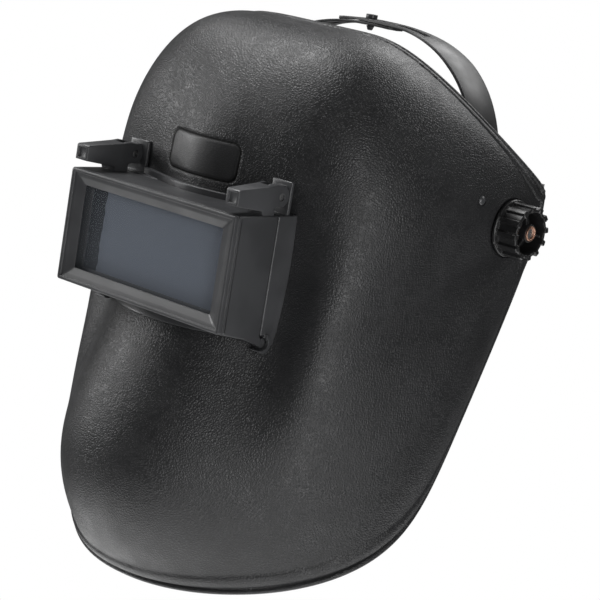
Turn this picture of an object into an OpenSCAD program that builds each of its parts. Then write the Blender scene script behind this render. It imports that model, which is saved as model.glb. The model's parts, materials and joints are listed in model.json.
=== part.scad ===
// Welding helmet: a one-piece moulded shell that tilts on a ratchet headgear,
// with a lens holder that flips up at the window.
// Millimetres. The origin is the middle of the tilt axis, between the ears.
// +Z is up, the face looks along -Y, and +X is the wearer's left.

/* [Shell] */
// Half width of the shell at the ears
shell_half_w = 110.5; // [109:0.5:112]
// Wall thickness of the shell
shell_wall = 2.6; // [2.2:0.1:3]
// How far the rolled edge stands proud of the shell
bead_h = 1.6; // [1:0.1:2]
// Angle of the lower rim below level at the middle of the chin
chin_angle = 52.5; // [50:0.5:55]
// Angle of the lower rim below level at the ears
cheek_angle = 77; // [75:0.5:79]
// Angle of the crown rim above level
crown_angle = 42.5; // [41:0.5:44]
// How far the shell is pressed in beside and below the window
pocket_depth = 29.4; // [27:0.2:31]
// How far the middle of the brow stands proud
nose_h = 8.9; // [7:0.1:10]

/* [Window] */
// Distance from the tilt axis forward to the face of the lens holder
face_y = 157; // [156:0.5:158]
// Distance from the tilt axis down to the middle of the window
window_drop = 34; // [33:0.5:35]
// Outer width of the lens holder
box_w = 119.5; // [119:0.5:120]
// Outer height of the lens holder at its face
box_h = 60; // [59:0.5:61]
// Depth of the part that flips up
flip_depth = 31.5; // [31:0.5:32]
// Width of the lens plates
lens_w = 108; // [107:0.5:108]
// Height of the lens plates
lens_h = 51; // [50:0.5:51]
// Width of the clear view
view_w = 96; // [94:1:98]
// Height of the clear view
view_h = 43; // [42:1:44]

/* [Flip hinge] */
// Distance from the tilt axis forward to the flip hinge
hinge_y = 124.5; // [124:0.5:125]
// Height of the flip hinge above the tilt axis
hinge_z = 5.5; // [5:0.5:6]
// Radius of the hinge pins
hinge_pin_r = 2; // [1.8:0.1:2.2]

/* [Pivots] */
// Radius of the pivot studs
stud_r = 3; // [2.5:0.5:3]
// Radius of the moulded pivot bosses
boss_r = 16.5; // [16:0.5:17]
// Radius of the tension knobs at the flange
knob_r = 15.5; // [15:0.5:16]
// Height of the tension knobs
knob_h = 15; // [14:0.5:16]
// Number of grip ribs on a tension knob
knob_ribs = 12; // [10:1:14]

/* [Headgear] */
// Half width of the headband, outside
band_half_w = 91; // [90.5:0.5:91.5]
// Distance from the tilt axis forward to the front of the headband
brow_y = 88; // [86:1:88]
// Height of the headband at the brow
band_h = 20; // [18:1:20]
// Height of the crown strap above the tilt axis
crown_z = 91.5; // [90:0.5:92]
// Radius of the ratchet knob
ratchet_r = 21; // [19:0.5:22]

/* [Hidden] */
$fn = 64;
e = 0.05;              // small overlap for cuts
run = 0.06;            // radial clearance of a running fit

// Stations of the shell, at even angles from first_angle to last_angle about the ears.
// Each row is: reach forward from the ears, width factor, fullness of the front, fullness of the sides.
stations = [
  [283.1, 0.633, 3.12, 6.46], [256, 1.604, 1.477, 2.049], [271.1, 0.833, 2.812, 1.786], [150.5, 1.189, 1.5, 3.45],
  [144.9, 0.981, 2.39, 4.74], [141.6, 0.769, 2.466, 4.444], [71, 0.477, 4.92, 7.61]
];
first_angle = -80;
last_angle = 50;
ear = [26.5, 10, 12];  // y, z and half height of the ear edge that all the ribs start from
bead_t = 0.012;        // share of the rib fan that the rolled edge takes at the chin
crown_bead_t = 0.02;   // the same at the crown
rib_steps = 52;
fan_steps = 26;

win_z = -window_drop;
box_top = win_z + box_h / 2;
box_bottom = win_z - box_h / 2;
seam_y = -face_y + flip_depth;
box_slope = 5.5;       // drop of the box's floor from its face to the seam
plate_t = 5;           // thickness of the flip frame's face
frame_t = 2.5;         // thickness of the flip frame's walls
hole_half_w = 56.9;    // opening in the shell
hole_top = -5.6;
hole_bottom = -67;
lip_t = 2.6;           // thickness of the window frame's lip on the shell
stop_pin = [-25.9, 14.2];
stop_pin_r = 2.5;
plate_x = band_half_w - 2.2;   // inner face of the pivot plates
boss_in = 98.2;
boss_out = 109.4;
knob_x = 110.5;
rear_c = 18;           // centre of the rear band's circle, behind the tilt axis
band_z = -8;           // middle of the rear band
tail_r = band_half_w - 2.2;
rack_l_r = [87, 88.4];
rack_r_r = [85.2, 86.6];
case_r = [81.5, 84.8];
cover_r = [88.8, 91.6];
case_half = 20;        // half angle that the ratchet case covers
pinion_r = 3.6;

black = [0.11, 0.11, 0.12];
soft_black = [0.2, 0.2, 0.21];
brass = [0.78, 0.6, 0.3];
steel = [0.7, 0.71, 0.73];

// ---------- helpers ----------
module rod_x(x0, x1, r) { translate([x0, 0, 0]) rotate([0, 90, 0]) cylinder(r = r, h = x1 - x0); }
module rod_y(y0, y1, r) { translate([0, y1, 0]) rotate([90, 0, 0]) cylinder(r = r, h = y1 - y0); }
module sided(s) { mirror([s < 0 ? 1 : 0, 0, 0]) children(); }
module both() { for (s = [-1, 1]) sided(s) children(); }
// a block given by its low and high corners
module block(a, b) { translate(a) cube(b - a); }
// a profile in Y and Z, pushed along X
module side_profile(x0, x1, points) {
  translate([x0, 0, 0]) rotate([90, 0, 90]) linear_extrude(x1 - x0) polygon(points);
}
// a profile in X and Z, pushed along Y
module front_profile(y0, y1) { translate([0, y1, 0]) rotate([90, 0, 0]) linear_extrude(y1 - y0) children(); }
// a band of the rear circle, from start degrees past +X
module rear_arc(r, z, start, sweep) {
  translate([0, rear_c, 0]) rotate([0, 0, start]) rotate_extrude(angle = sweep, $fn = 180)
    translate([r[0], z[0]]) square([r[1] - r[0], z[1] - z[0]]);
}
module frame_ring(y, outer, inner) {
  difference() {
    block([-outer[0], y[0], win_z - outer[1]], [outer[0], y[1], win_z + outer[1]]);
    block([-inner[0], y[0] - 1, win_z - inner[1]], [inner[0], y[1] + 1, win_z + inner[1]]);
  }
}

// ---------- shell surface ----------
function spline(u) = let(
    n = len(stations), i = min(floor(u), n - 2), f = u - i,
    a = i > 0 ? stations[i - 1] : 2 * stations[0] - stations[1],
    d = i + 2 < n ? stations[i + 2] : 2 * stations[n - 1] - stations[n - 2])
  (pow(1 - f, 3) * a + (3 * pow(f, 3) - 6 * f * f + 4) * stations[i]
    + (-3 * pow(f, 3) + 3 * f * f + 3 * f + 1) * stations[i + 1] + pow(f, 3) * d) / 6;
function pocket(x, z) = pocket_depth * exp(-pow((x * x - 3320) / 3521, 2)) * exp(-pow((z + 76.6) / 63.2, 2));
function nose(x, z) = nose_h * exp(-pow(x / 27.8, 2)) * exp(-pow((z - 12.2) / 41.6, 2));
// t goes from the chin rim (0) to the crown rim (1), phi from ear (-90) to ear (90)
function shell_point(t, phi, inset) = let(
    f = abs(phi), s = 2 * t - 1,
    low = -chin_angle - (cheek_angle - chin_angle) * pow(sin(f), 2),
    th = low + (crown_angle - low) * t,
    row = spline((th - first_angle) / (last_angle - first_angle) * (len(stations) - 1)),
    reach = row[0] - inset,
    k = pow(max(cos(f), 0), 2 / row[2]),
    x = sign(phi) * (shell_half_w - inset) * (1 + (row[1] - 1) * k) * pow(sin(f), 2 / row[3]),
    y = ear[0] - 2 * pow(s, 4) - reach * k * cos(th),
    z = ear[1] + ear[2] * s + reach * k * sin(th))
  [x, y + pocket(x, z) - nose(x, z), z];
function fan_t(i) = i == 0 ? 0 : i == 1 ? bead_t : i == 2 ? bead_t * 1.5
  : i == fan_steps ? 1 : i == fan_steps - 1 ? 1 - crown_bead_t
  : i == fan_steps - 2 ? 1 - crown_bead_t * 1.5
  : bead_t * 1.5 + (1 - bead_t * 1.5 - crown_bead_t * 1.5) * (i - 2) / (fan_steps - 4);
function bead_at(i) = i <= 1 || i >= fan_steps - 1 ? bead_h : 0;
cols = rib_steps + 1;
function quad(a, b, c, d) = [[a, b, c], [a, c, d]];
function grid_faces(base, flip) = [for (i = [0:fan_steps - 1], j = [0:rib_steps - 1])
  let(a = base + i * cols + j, q = flip ? quad(a, a + 1, a + cols + 1, a + cols)
    : quad(a, a + cols, a + cols + 1, a + 1)) each q];
module shell_skin() {
  outer = [for (i = [0:fan_steps], j = [0:rib_steps])
    shell_point(fan_t(i), -90 + 180 * j / rib_steps, -bead_at(i))];
  inner = [for (i = [0:fan_steps], j = [0:rib_steps])
    shell_point(fan_t(i), -90 + 180 * j / rib_steps, shell_wall)];
  m = len(outer);
  top = fan_steps * cols;
  rims = [for (j = [0:rib_steps - 1]) each concat(quad(j, j + 1, m + j + 1, m + j),
    quad(top + j + 1, top + j, m + top + j, m + top + j + 1))];
  ears = [for (i = [0:fan_steps - 1]) let(a = i * cols, b = a + rib_steps) each concat(
    quad(a + cols, a, m + a, m + a + cols), quad(b, b + cols, m + b + cols, m + b))];
  polyhedron(concat(outer, inner), concat(grid_faces(0, false), grid_faces(m, true), rims, ears));
}
// everything inside the shell's outer surface, swollen by grow
module shell_core(grow) {
  pts = [for (i = [0:fan_steps], j = [0:rib_steps])
    shell_point(fan_t(i), -90 + 180 * j / rib_steps, -grow)];
  mids = [for (i = [0:fan_steps]) let(p = pts[i * cols]) [0, p[1], p[2]]];
  m = len(pts);
  top = fan_steps * cols;
  caps = [for (j = [0:rib_steps - 1]) each [[m, j, j + 1], [m + fan_steps, top + j + 1, top + j]]];
  back = [for (i = [0:fan_steps - 1]) let(a = i * cols, b = a + rib_steps) each concat(
    quad(a, m + i, m + i + 1, a + cols), quad(m + i, b, b + cols, m + i + 1))];
  polyhedron(concat(pts, mids), concat(grid_faces(0, false), caps, back));
}
// settles its children into one mesh
module settled() { resize([0, 0, 0]) children(); }

// ---------- shell and its window ----------
module pivot_hole(r) { both() rod_x(boss_in - 6, boss_out + 6, r); }
module stop_hole(r) { both() translate([0, stop_pin[0], stop_pin[1]]) rod_x(90, 115, r); }
module shell() {
  color(black) difference() {
    settled() difference() {
      union() {
        shell_skin();
        both() rod_x(boss_in, boss_out + 0.6, boss_r);
      }
      block([-hole_half_w, -190, hole_bottom], [hole_half_w, -80, hole_top]);
      // seat for the knobs
      both() rod_x(boss_out, boss_out + 8, knob_r + 0.7);
    }
    pivot_hole(stud_r + run);
    stop_hole(stop_pin_r + e);
  }
}
lug_x = [50, 55.6];
arm_x = [47.4, 59];
arm_boss_r = 5.3;
arm_gap = 0.7;         // room that the swinging arms have
arm_open = 80;         // how far the lens holder flips up
peg = [-122.5, -70];
peg_r = 2.6;
hook_r = 4.9;
// side view of an arm
module arm_shape() {
  translate([-hinge_y, hinge_z]) circle(r = arm_boss_r);
  polygon([[-face_y + 0.7, 0.6], [-face_y + 0.7, 8], [-face_y + 1.4, 8.7], [-hinge_y - 8.5, 10.7],
    [-hinge_y - 3.5, 11.4], [-hinge_y + 0.5, hinge_z + 5.2], [-hinge_y + 1, hinge_z], [-hinge_y - 3, 0.8],
    [-hinge_y - 4, -0.4], [-hinge_y - 4, box_top - 0.6], [-hinge_y - 12, box_top - 0.6], [-hinge_y - 13, -1.8]]);
}
// everything the arms pass through, from shut to fully up
module arm_sweep(grow) {
  both() translate([arm_x[0] - arm_gap, 0, 0]) rotate([90, 0, 90]) linear_extrude(arm_x[1] - arm_x[0] + 2 * arm_gap)
    for (a = [0:8:arm_open + 3]) translate([-hinge_y, hinge_z]) rotate(-a) translate([hinge_y, -hinge_z])
      offset(delta = grow) arm_shape();
}
// upright behind each arm's rear end, which carries the lug
post = [-hinge_y + 6.2, -hinge_y + 8.5];
module post_block() {
  both() block([arm_x[0] - 2.3, post[0], box_top - 0.9], [arm_x[1] - 0.4, post[1], 12.8]);
  both() block([lug_x[0], post[1] - 1, box_top - 0.9], [lug_x[1], -104, 6]);
}
module lug() {
  difference() {
    union() {
      translate([0, -hinge_y, hinge_z]) rod_x(lug_x[0], lug_x[1], 5);
      side_profile(lug_x[0], lug_x[1], [[-hinge_y, hinge_z - 5], [post[0] + 1, hinge_z - 6],
        [post[0] + 1, hinge_z + 5], [-hinge_y, hinge_z + 5]]);
    }
    translate([0, -hinge_y, hinge_z]) rod_x(arm_x[0] - 1, arm_x[1] + 1, hinge_pin_r + run);
  }
}
module hook() {
  difference() {
    translate([0, peg[0], peg[1]]) rod_x(54, 59.6, hook_r);
    translate([0, peg[0], peg[1]]) rod_x(53, 60.6, peg_r + 0.3);
    side_profile(53, 60.6, [[peg[0] - 9, peg[1] - 3.9], [peg[0], peg[1] - 3.3], [peg[0] + 1, peg[1] + 2.4],
      [peg[0] + 1, peg[1] + 9], [peg[0] - 9, peg[1] + 9]]);
  }
}
module window_frame() {
  back = -98.2;
  color(black) union() {
    settled() difference() {
      union() {
        // box wall behind the seam, down to the shell
        difference() {
          side_profile(-box_w / 2, box_w / 2, [[seam_y + 0.4, box_top], [-100, box_top], [-100, -77],
            [seam_y + 16, -73], [seam_y + 0.4, box_bottom - box_slope]]);
          block([-54.9, -200, -65.03], [54.9, 0, -7.6]);
          shell_core(0.1);
        }
        // lip that lies on the shell round the opening
        intersection() {
          difference() {
            union() {
              block([-box_w / 2, -160, -70], [box_w / 2, -103, box_top]);
              block([-arm_x[0] + 2.4, -160, box_top - 1], [arm_x[0] - 2.4, -103, -0.8]);
            }
            block([-54.9, -200, -65.03], [54.9, 0, -7.6]);
            shell_core(0.1);
          }
          shell_core(lip_t);
        }
        // sleeve through the opening
        intersection() {
          difference() {
            block([-56.7, -160, -66.8], [56.7, back, -5.77]);
            block([-54.9, -200, -65.03], [54.9, 0, -7.6]);
          }
          shell_core(lip_t);
        }
        // ledge that the safety plate's gasket sits on
        difference() {
          block([-55, -107.5, -65.2], [55, -105, -7.4]);
          block([-49, -120, win_z - 22], [49, -90, win_z + 22]);
        }
        difference() {
          both() hook();
          shell_core(0.1);
        }
        difference() {
          post_block();
          shell_core(0.1);
          arm_sweep(arm_gap);
        }
      }
      // way in for the pegs
      both() translate([0, peg[0], peg[1]]) rod_x(53.5, 62, peg_r + 0.3);
      both() block([53.5, peg[0] - 12, peg[1] - 2.9], [62, peg[0] + 0.3, peg[1] + 4.3]);
    }
    both() lug();
  }
}
module inner_bezel() {
  color(black) difference() {
    block([-61, -99.9, -71], [61, -96.9, -2]);
    block([-49, -120, win_z - 22], [49, -90, win_z + 22]);
    // clearance round the sleeve
    difference() {
      block([-56.9, -101, -67], [56.9, -98.1, -5.6]);
      block([-54.7, -102, -64.8], [54.7, -90, -7.8]);
    }
  }
}
module plate_gasket() { color(soft_black) frame_ring([-104.9, -103.2], [54, 25.5], [49.5, 22]); }
module safety_plate() {
  color([0.75, 0.82, 0.85, 0.5]) block([-54, -103.1, win_z - 25.5], [54, -100.1, win_z + 25.5]);
}
// two leaf springs that the bezel's ends hold down on the plate
module plate_springs() {
  color(steel) both() side_profile(49.6, 53.4, [[-96.8, win_z - 18], [-96.2, win_z - 18], [-94.4, win_z],
    [-96.2, win_z + 18], [-96.8, win_z + 18], [-95.1, win_z]]);
}
module stop_pins() {
  color(black) both() translate([0, stop_pin[0], stop_pin[1]]) union() {
    rod_x(93.2, 108.8, stop_pin_r);
    translate([108.7, 0, 0]) rotate([0, 90, 0]) cylinder(r1 = stop_pin_r - 0.1, r2 = stop_pin_r - 0.9, h = 0.8);
  }
}

// ---------- flip-up lens holder ----------
module flip_frame() {
  floor_in = box_bottom + frame_t;
  color(black) settled() difference() {
    union() {
      side_profile(-box_w / 2, box_w / 2, [[-face_y, box_bottom], [-face_y, box_top], [seam_y, box_top],
        [seam_y, box_bottom - box_slope]]);
      // arms that carry the latch pegs
      both() side_profile(54, box_w / 2, [[-136, -66], [peg[0] - 3.2, -66], [peg[0] - 1.5, peg[1] + 1],
        [peg[0] - 1.5, peg[1] - 1.6], [-136, -67.5]]);
    }
    // hollow behind the face
    side_profile(-box_w / 2 + frame_t, box_w / 2 - frame_t, [[-face_y + plate_t, floor_in],
      [-face_y + plate_t, box_top - frame_t], [seam_y + 1, box_top - frame_t],
      [seam_y + 1, floor_in - box_slope]]);
    // view, with a step round it
    block([-view_w / 2, -200, win_z - view_h / 2], [view_w / 2, -100, win_z + view_h / 2]);
    block([-view_w / 2 - 5, -200, win_z - view_h / 2 - 4], [view_w / 2 + 5, -face_y + 2, win_z + view_h / 2 + 4]);
    shell_core(lip_t + 0.5);
    difference() {
      both() translate([0, peg[0], peg[1]]) rod_x(53, 60, hook_r + 0.4);
      both() block([53, -140, peg[1] + 0.5], [60, peg[0] - 0.5, -66]);
    }
  }
}
module latch_pegs() {
  color(black) both() translate([0, peg[0], peg[1]]) rod_x(54.2, 59.2, peg_r);
}
module hinge_arm(s) {
  color(black) sided(s) difference() {
    settled() difference() {
      translate([arm_x[0], 0, 0]) rotate([90, 0, 90]) linear_extrude(arm_x[1] - arm_x[0]) arm_shape();
      // taper towards the front
      translate([0, 0, -20]) linear_extrude(40) polygon([[arm_x[0] - 1, -face_y - 1], [arm_x[0] + 3.2, -face_y - 1],
        [arm_x[0], -hinge_y - 2.2], [arm_x[0] - 1, -hinge_y - 2.2]]);
      // fork round the lug
      block([lug_x[0] - 0.4, -hinge_y - 7.4, -20], [lug_x[1] + 0.4, -hinge_y + 12, 20]);
      // recessed front panel
      block([arm_x[0] + 4.6, -face_y, 1.9], [arm_x[1] - 1.4, -face_y + 1.6, 7.3]);
    }
    translate([0, -hinge_y, hinge_z]) rod_x(arm_x[0] - 1, arm_x[1] + 1, hinge_pin_r + 0.02);
  }
}
module hinge_pins() {
  color(steel) both() translate([0, -hinge_y, hinge_z]) rod_x(arm_x[0] + 0.4, arm_x[1] - 0.4, hinge_pin_r);
}
stack_y = -face_y + plate_t + 0.1;
module lens_plate(y, t) {
  block([-lens_w / 2, y, win_z - lens_h / 2], [lens_w / 2, y + t, win_z + lens_h / 2]);
}
module cover_plate() { color([0.75, 0.82, 0.85, 0.5]) lens_plate(stack_y, 1.5); }
module lens_gasket() {
  color(soft_black) frame_ring([stack_y + 1.6, stack_y + 3], [lens_w / 2, lens_h / 2], [view_w / 2 + 1, view_h / 2]);
}
module filter_plate() { color([0.05, 0.09, 0.08]) lens_plate(stack_y + 3.1, 3); }
module lens_keeper() {
  color(black) frame_ring([stack_y + 6.2, stack_y + 8.2], [lens_w / 2, lens_h / 2], [view_w / 2 + 1, view_h / 2]);
}
// bent wire that pushes the keeper forward
module lens_spring() {
  y = stack_y + 9;
  color(steel) union() {
    for (s = [-1, 1]) translate([s * 51.5, y, win_z - 23]) cylinder(r = 0.75, h = 46);
    for (s = [-1, 1]) translate([0, y, win_z + s * 23]) rod_x(-52.25, 52.25, 0.75);
  }
}

// ---------- headgear ----------
function ellipse_arc(a, b, n) = [for (i = [0:n]) [a * cos(180 * i / n), -b * sin(180 * i / n)]];
module band_plan(outer, inner) {
  polygon(concat(ellipse_arc(band_half_w - outer, brow_y - outer, 48),
    [for (i = [48:-1:0]) ellipse_arc(band_half_w - inner, brow_y - inner, 48)[i]]));
}
brow_z = 14;
rivet_z = [20, 29];
module side_plate() {
  side_profile(plate_x - 0.25, band_half_w + 0.25, [[-6, brow_z], [-6, brow_z + band_h], [4, brow_z + band_h],
    [11, 24], [16, 4], [19, 0], [19, -16], [9, -15], [-6, -13], [-12, -8], [-14, 0], [-12, 10]]);
  rod_x(plate_x - 0.25, band_half_w + 0.25, 14);
}
module guide_loop() {
  difference() {
    rear_arc([83.4, band_half_w], [-17.6, 1.6], 40, 4);
    rear_arc([84.8, tail_r], [-16, 0], 39, 6);
  }
}
module headband() {
  color(black) difference() {
    settled() union() {
      translate([0, 0, brow_z]) linear_extrude(band_h) band_plan(0, 2.2);
      both() side_plate();
      both() rear_arc([tail_r, band_half_w], [-16, 0], -1, 61);
      both() guide_loop();
    }
    both() rod_x(plate_x - 1, band_half_w + 1, stud_r + run);
    both() for (z = rivet_z) translate([0, 1, z]) rod_x(plate_x - 1, band_half_w + 1, 1.6);
  }
}
module sweatband() {
  color([0.25, 0.22, 0.2]) translate([0, 0, brow_z - 3]) linear_extrude(band_h + 6) intersection() {
    band_plan(2.6, 8.6);
    translate([-78, -200]) square([156, 160]);
  }
}
// the crown strap's arch: fuller than an ellipse
function arch(a, b, q) = [sign(sin(q)) * a * pow(abs(sin(q)), 2 / 2.6), b * pow(cos(q), 2 / 2.6)];
arch_a = plate_x - 0.8;
module arch_band(drop, from, to) {
  n = 40;
  front_profile(-14, 18) polygon(concat(
    [for (i = [0:n]) arch(arch_a - drop, crown_z - drop, from + (to - from) * i / n)],
    [for (i = [n:-1:0]) arch(arch_a - drop - 1.5, crown_z - drop - 1.5, from + (to - from) * i / n)]));
}
module strap_plan(end, slot) {
  difference() {
    translate([0, 0, -5]) linear_extrude(120) polygon([[end, -4], [end - 3, 0], [end - 3, 5], [end, 9], [24, 9.5],
      [40, 12], [58, 14], [95, 14], [95, -10], [58, -9], [40, -7], [24, -4.5]]);
    block([slot[0], -0.5, 60], [slot[1], 5.5, 120]);
  }
}
peg_x = -8;
module crown_strap_left() {
  color(black) difference() {
    intersection() {
      arch_band(0, -30, 84.5);
      strap_plan(-26, [12, 33]);
    }
    for (x = [peg_x, peg_x - 9, peg_x + 9]) translate([x, 2.5, 60]) cylinder(r = 1.8, h = 50);
  }
}
module crown_strap_right() {
  color(black) mirror([1, 0, 0]) difference() {
    intersection() {
      arch_band(1.8, -30, 84.5);
      strap_plan(-10, [16, 37]);
    }
    for (x = [-peg_x, -peg_x - 9]) translate([x, 2.5, 60]) cylinder(r = 1.8, h = 50);
  }
}
module crown_peg() {
  color(black) translate([peg_x, 2.5, 0]) union() {
    translate([0, 0, crown_z + 0.1]) cylinder(r = 3.2, h = 2.2);
    translate([0, 0, crown_z - 6]) cylinder(r = 1.6, h = 7);
    translate([0, 0, crown_z - 6.4]) cylinder(r1 = 1.2, r2 = 2.3, h = 2.4);
  }
}
// buttons that join the crown strap to the pivot plates
module strap_rivets() {
  color(black) both() for (z = rivet_z) translate([0, 1, z]) union() {
    rod_x(83.2, band_half_w + 0.4, 1.5);
    rod_x(band_half_w + 0.35, band_half_w + 1.8, 3);
  }
}

// ---------- pivots, one side ----------
module pivot_stud(s) {
  color(steel) sided(s) union() {
    rod_x(plate_x - 2.6, plate_x - 0.35, 7);
    rod_x(plate_x - 0.4, knob_x + 13.6, stud_r);
  }
}
module tilt_stop(s) {
  a = atan2(stop_pin[1], -stop_pin[0]) - 12;
  color(black) sided(s) difference() {
    union() {
      rod_x(band_half_w + 0.35, 97.3, 12);
      rotate([-a, 0, 0]) block([band_half_w + 0.8, -31.8, -2.4], [94.4, -8, 2.4]);
    }
    rod_x(band_half_w - 1, 99, stud_r + run);
  }
}
module inner_washer(s) {
  color([0.45, 0.3, 0.2]) sided(s) difference() {
    rod_x(97.4, boss_in - 0.1, 11);
    rod_x(96, 100, stud_r + run);
  }
}
module outer_washer(s) {
  color(steel) sided(s) difference() {
    rod_x(boss_out + 0.1, knob_x - 0.1, 11);
    rod_x(boss_out - 1, knob_x + 1, stud_r + run);
  }
}
insert_r = 3.9;
module tension_knob(s) {
  body_r = knob_r - 2.2;
  color(black) sided(s) difference() {
    union() {
      rod_x(knob_x, knob_x + 2.2, knob_r);
      rod_x(knob_x, knob_x + knob_h, body_r);
      for (i = [0:knob_ribs - 1]) rotate([i * 360 / knob_ribs, 0, 0]) translate([0, 0, body_r - 0.2])
        rod_x(knob_x + 1, knob_x + knob_h - 0.4, 1.5);
    }
    // hollow front with a hub and three webs
    difference() {
      rod_x(knob_x + 4, knob_x + knob_h + 1, body_r - 2);
      rod_x(knob_x + 3, knob_x + knob_h - 1.2, 5);
      for (i = [0:2]) rotate([i * 120 + 20, 0, 0]) block([knob_x + 3, -0.7, 0], [knob_x + knob_h - 3, 0.7, body_r]);
    }
    rod_x(knob_x - 1, knob_x + knob_h + 1, insert_r + 0.04);
  }
}
module knob_insert(s) {
  color(brass) sided(s) difference() {
    rod_x(knob_x + 0.3, knob_x + knob_h - 0.6, insert_r);
    rod_x(knob_x - 1, knob_x + knob_h + 1, stud_r + run);
  }
}

// ---------- ratchet ----------
rack_h = 7;            // half height of a rack
slot_h = 3.8;          // half height of its slot
module rack(r, teeth_up) {
  difference() {
    rear_arc(r, [band_z - rack_h, band_z + rack_h], 28, 71);
    rear_arc([r[0] - 1, r[1] + 1], [band_z - slot_h, band_z + slot_h], 79, 14.5);
    translate([0, rear_c, band_z + (teeth_up ? slot_h : -slot_h)])
      for (a = [80:1.6:93]) rotate([0, 0, a]) rod_x(r[0] - 1, r[1] + 1, 0.5, $fn = 24);
    // size holes in the tail that slides inside the headband
    translate([0, rear_c, band_z]) for (a = [32:8:64]) rotate([0, 0, a]) rod_x(r[0] - 1, r[1] + 1, 1.5, $fn = 24);
  }
}
module rack_left() { color(soft_black) rack(rack_l_r, true); }
module rack_right() { color(soft_black) mirror([1, 0, 0]) rack(rack_r_r, false); }
module screw_spots() { for (x = [-23, 23], z = [0, 1]) translate([x, 0, z == 0 ? band_z - 9.6 : band_z + 9.6]) children(); }
module ratchet_housing() {
  color(black) difference() {
    union() {
      rear_arc(case_r, [band_z - 12, band_z + 12], 90 - case_half, 2 * case_half);
      for (z = [band_z - 12, band_z + 7.4])
        rear_arc([case_r[1] - e, cover_r[0] - 0.1], [z, z + 4.6], 90 - case_half, 2 * case_half);
    }
    translate([0, 0, band_z]) rod_y(rear_c + 70, rear_c + 100, 1.5 + run);
    screw_spots() rod_y(rear_c + 82, rear_c + 100, 1);
  }
}
module ratchet_cover() {
  color(black) difference() {
    union() {
      rear_arc(cover_r, [band_z - 12, band_z + 12], 90 - case_half, 2 * case_half);
      translate([0, 0, band_z]) rod_y(rear_c + cover_r[1] - 1, rear_c + cover_r[1] + 1, 11.5);
    }
    translate([0, 0, band_z]) rod_y(rear_c + 70, rear_c + 100, 2.4 + run);
    screw_spots() rod_y(rear_c + 80, rear_c + 100, 1.1);
    screw_spots() rod_y(rear_c + cover_r[1] - 4, rear_c + 100, 2.2);
  }
}
module cover_screws() {
  color(steel) screw_spots() union() {
    rod_y(rear_c + 82.5, rear_c + cover_r[1] - 4, 0.96);
    rod_y(rear_c + cover_r[1] - 4 + e, rear_c + cover_r[1] - 2.6, 2.1);
  }
}
module ratchet_pinion() {
  color(soft_black) translate([0, 0, band_z]) union() {
    rod_y(rear_c + 82, rear_c + 86, 1.5);
    rod_y(rear_c + 85, rear_c + 88.6, pinion_r - 0.8);
    for (i = [0:7]) rotate([0, i * 45, 0]) block([-0.5, rear_c + 85, 0], [0.5, rear_c + 88.6, pinion_r]);
    rod_y(rear_c + 88, rear_c + 98, 2.4);
  }
}
module ratchet_knob() {
  y0 = rear_c + cover_r[1] + 1.2;
  color(black) translate([0, 0, band_z]) difference() {
    union() {
      rod_y(y0, y0 + 2.5, ratchet_r);
      rod_y(y0, y0 + 12, ratchet_r - 2);
      for (i = [0:17]) rotate([0, i * 20, 0]) translate([0, 0, ratchet_r - 2.2]) rod_y(y0 + 1, y0 + 11.6, 2, $fn = 32);
    }
    rod_y(y0 - 1, y0 + 9.5, 2.4 + 0.02);
    rotate([-90, 0, 0]) translate([0, 0, y0 + 12 + 46.6]) sphere(r = 50, $fn = 128);
  }
}
module rear_pad() {
  color([0.25, 0.22, 0.2]) rear_arc([75.6, case_r[0] - 0.2], [band_z - 11, band_z + 11], 66, 48);
}

shell();
window_frame();
inner_bezel();
plate_gasket();
safety_plate();
plate_springs();
stop_pins();
flip_frame();
hinge_arm(1);  // hinge_arm_left
hinge_arm(-1);  // hinge_arm_right
hinge_pins();
latch_pegs();
cover_plate();
lens_gasket();
filter_plate();
lens_keeper();
lens_spring();
headband();
sweatband();
crown_strap_left();
crown_strap_right();
crown_peg();
strap_rivets();
pivot_stud(1);  // pivot_stud_left
pivot_stud(-1);  // pivot_stud_right
tilt_stop(1);  // tilt_stop_left
tilt_stop(-1);  // tilt_stop_right
inner_washer(1);  // inner_washer_left
inner_washer(-1);  // inner_washer_right
outer_washer(1);  // outer_washer_left
outer_washer(-1);  // outer_washer_right
tension_knob(1);  // tension_knob_left
tension_knob(-1);  // tension_knob_right
knob_insert(1);  // knob_insert_left
knob_insert(-1);  // knob_insert_right
rack_left();
rack_right();
ratchet_housing();
ratchet_cover();
cover_screws();
ratchet_pinion();
ratchet_knob();
rear_pad();
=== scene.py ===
"""Welding helmet: finishes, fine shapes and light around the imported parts.

Lengths in this script are millimetres until a mesh is made; Blender's are metres.
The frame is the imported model's: origin on the tilt axis between the ears, +Z up, -Y ahead,
+X the wearer's left.
"""

import json
import math

import bmesh
import bpy
import numpy as np
from mathutils import Matrix, Vector
from mathutils.bvhtree import BVHTree
from mathutils.kdtree import KDTree

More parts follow.
